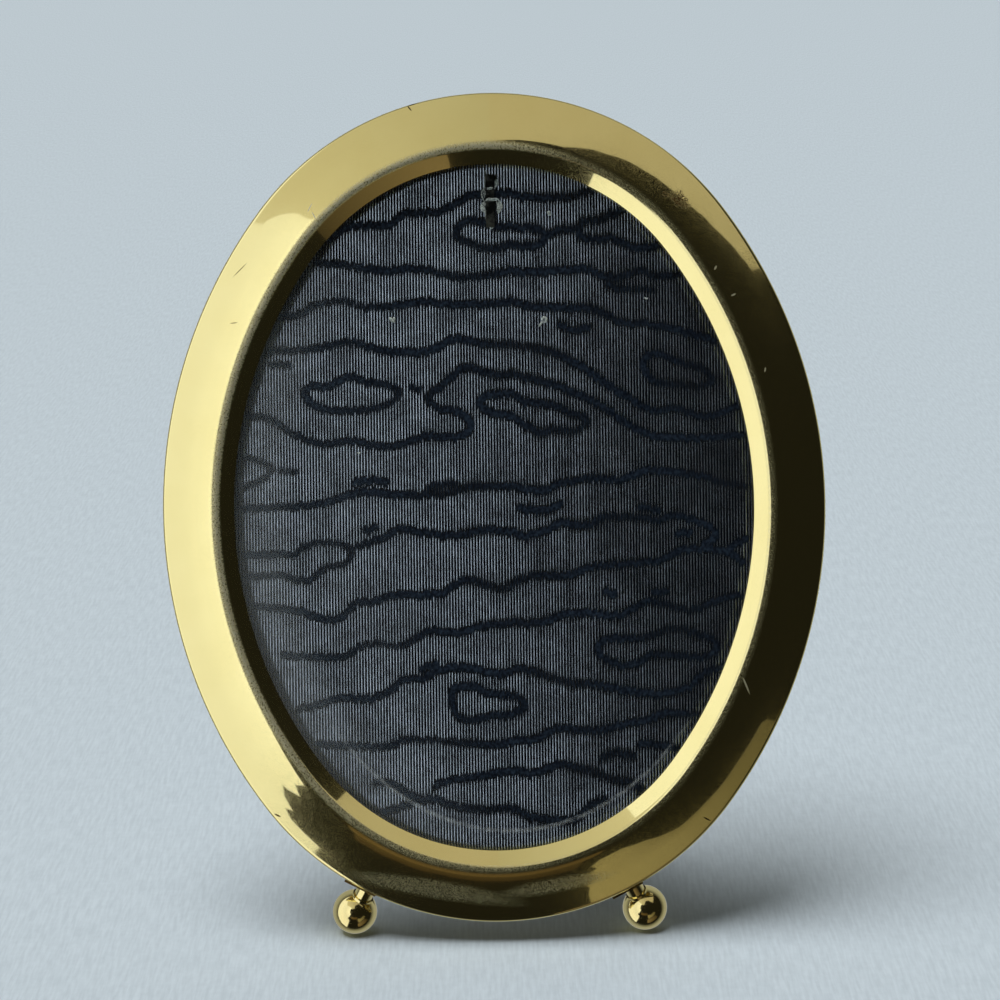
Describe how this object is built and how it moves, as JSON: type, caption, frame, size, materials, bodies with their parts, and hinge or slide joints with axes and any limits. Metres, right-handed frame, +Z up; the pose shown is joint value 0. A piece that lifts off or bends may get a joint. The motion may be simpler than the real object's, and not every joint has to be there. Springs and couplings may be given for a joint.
{
  "type": "oval picture frame",
  "caption": "Oval polished brass table frame with glass, moire-lined easel back, folding strut and ball feet.",
  "frame": {"origin": "on the table, under the centre of the standing frame's box", "axes": "+X to the right seen from the front, +Y to the back, +Z up; the face looks to -Y and leans back 14 degrees"},
  "size_m": [0.1474, 0.067, 0.184],
  "materials": {
    "polished_brass": "polished",
    "sheet_brass": "satin",
    "plated_hinge": "satin",
    "glass": "clear",
    "pasteboard": "matte",
    "moire_lining": "ribbed",
    "book_cloth": "matte"
  },
  "bodies": {
    "frame": {"front_moulding": "polished_brass", "rebate_band": "sheet_brass", "glass": "glass", "packing_ring": "pasteboard", "lining": "moire_lining", "back_board": "pasteboard", "back_covering": "book_cloth", "back_rivets": "plated_hinge", "hinge_leaf_fixed": "plated_hinge", "hinge_pin": "plated_hinge", "hanger_split_pin": "polished_brass", "hanger_washer": "polished_brass", "button_rivets": "polished_brass", "button_lug_1": "sheet_brass", "button_lug_2": "sheet_brass", "button_lug_3": "sheet_brass", "button_lug_4": "sheet_brass", "foot_ball_left": "polished_brass", "foot_post_left": "polished_brass", "foot_plate_left": "sheet_brass", "foot_ball_right": "polished_brass", "foot_post_right": "polished_brass", "foot_plate_right": "sheet_brass"},
    "strut": {"hinge_leaf_moving": "plated_hinge", "strut_rivets": "plated_hinge", "strut_board": "pasteboard", "strut_covering": "book_cloth", "strut_lining": "book_cloth"},
    "ring": {"hanging_ring": "polished_brass"},
    "button_1": {"turn_button_1": "polished_brass"},
    "button_2": {"turn_button_2": "polished_brass"},
    "button_3": {"turn_button_3": "polished_brass"},
    "button_4": {"turn_button_4": "polished_brass"}
  },
  "joints": [
    {"name": "strut_hinge", "type": "hinge", "parent": "frame", "child": "strut", "pos_m": [0, 0.00402, 0.12402], "axis": [-1, 0, 0], "range_deg": [0, 27]},
    {"name": "ring_swing", "type": "hinge", "parent": "frame", "child": "ring", "pos_m": [0, 0.01414, 0.15942], "axis": [1, 0, 0], "range_deg": [-20, 170]},
    {"name": "button_1_turn", "type": "hinge", "parent": "frame", "child": "button_1", "pos_m": [0.03467, 0.01286, 0.16317], "axis": [0, 0.9703, -0.2419], "continuous": true},
    {"name": "button_2_turn", "type": "hinge", "parent": "frame", "child": "button_2", "pos_m": [-0.03467, 0.01286, 0.16317], "axis": [0, 0.9703, -0.2419], "continuous": true},
    {"name": "button_3_turn", "type": "hinge", "parent": "frame", "child": "button_3", "pos_m": [-0.03467, -0.02204, 0.0232], "axis": [0, 0.9703, -0.2419], "continuous": true},
    {"name": "button_4_turn", "type": "hinge", "parent": "frame", "child": "button_4", "pos_m": [0.03467, -0.02204, 0.0232], "axis": [0, 0.9703, -0.2419], "continuous": true}
  ]
}
